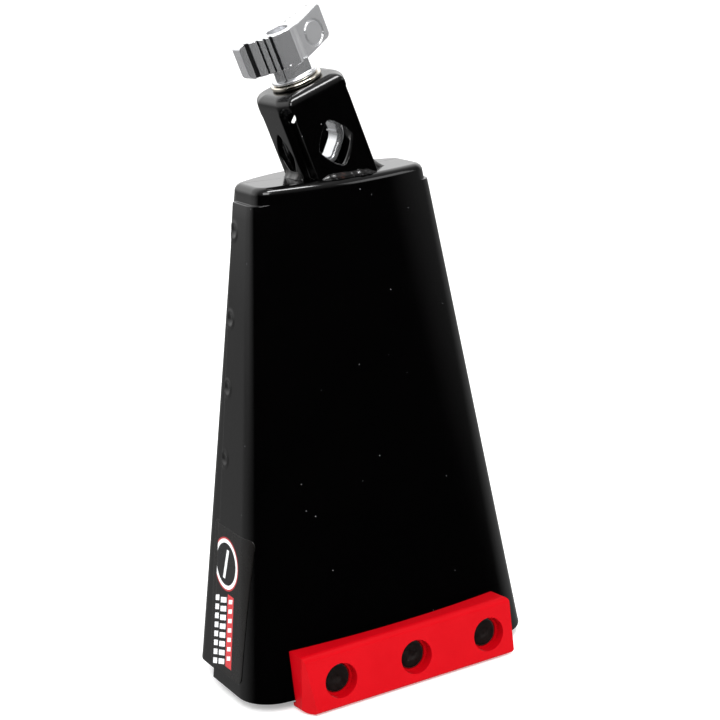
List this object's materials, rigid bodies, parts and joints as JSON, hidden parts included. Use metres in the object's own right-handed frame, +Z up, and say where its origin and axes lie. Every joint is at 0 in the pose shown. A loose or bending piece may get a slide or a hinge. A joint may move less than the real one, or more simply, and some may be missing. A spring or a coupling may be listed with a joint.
{
  "type": "mountable cowbell",
  "caption": "Tapered steel cowbell with a plastic ridge bar riveted to its mouth and a box clamp with eye bolt and wing nut on its closed end.",
  "frame": {"origin": "bottom centre of the whole object's box, where it stands on its mouth", "axes": "+Z up from the mouth to the clamp, -Y out of the struck face with the ridge bar, +X to the right seen from that face"},
  "size_m": [0.1334, 0.0756, 0.2727],
  "materials": {
    "black_paint": "gloss black enamel",
    "bracket_paint": "gloss black enamel, thinner on the cut edges",
    "weld_bead": "painted weld metal, rougher",
    "chrome": "polished chrome plate",
    "nickel": "warm bright plate",
    "red_plastic": "satin moulded plastic",
    "rivet_steel": "dark brown-black coated steel",
    "label_film": null
  },
  "bodies": {
    "bell": {"bell_body": "black_paint", "side_label": "label_film", "ridge_bar": "red_plastic", "bar_rivet_left": "rivet_steel", "bar_rivet_middle": "rivet_steel", "bar_rivet_right": "rivet_steel", "mount_bracket": "bracket_paint", "bracket_weld_right": "weld_bead", "bracket_weld_left": "weld_bead", "bracket_weld_front": "weld_bead", "bracket_weld_back": "weld_bead"},
    "washer": {"bolt_washer": "nickel"},
    "eye": {"eye_bolt": "chrome"},
    "nut": {"wing_nut": "chrome"}
  },
  "joints": [
    {"name": "eye_bolt_swivel", "type": "hinge", "parent": "bell", "child": "washer", "pos_m": [-0.01123, 0.00667, 0.24414], "axis": [-0.319, 0, 0.9478], "range_deg": [-90, 90]},
    {"name": "wing_nut_turn", "type": "hinge", "parent": "washer", "child": "nut", "pos_m": [-0.01295, 0.00667, 0.24926], "axis": [0.319, 0, -0.9478], "range_deg": [-613, 2169]},
    {"name": "eye_bolt_slide", "type": "slide", "parent": "washer", "child": "eye", "axis": [-0.319, 0, 0.9478], "range_m": [-0.0024, 0.0085]}
  ],
  "couplings": [
    {"joint": "wing_nut_turn", "follows": "eye_bolt_slide", "rad_per_m": 4452.7}
  ]
}
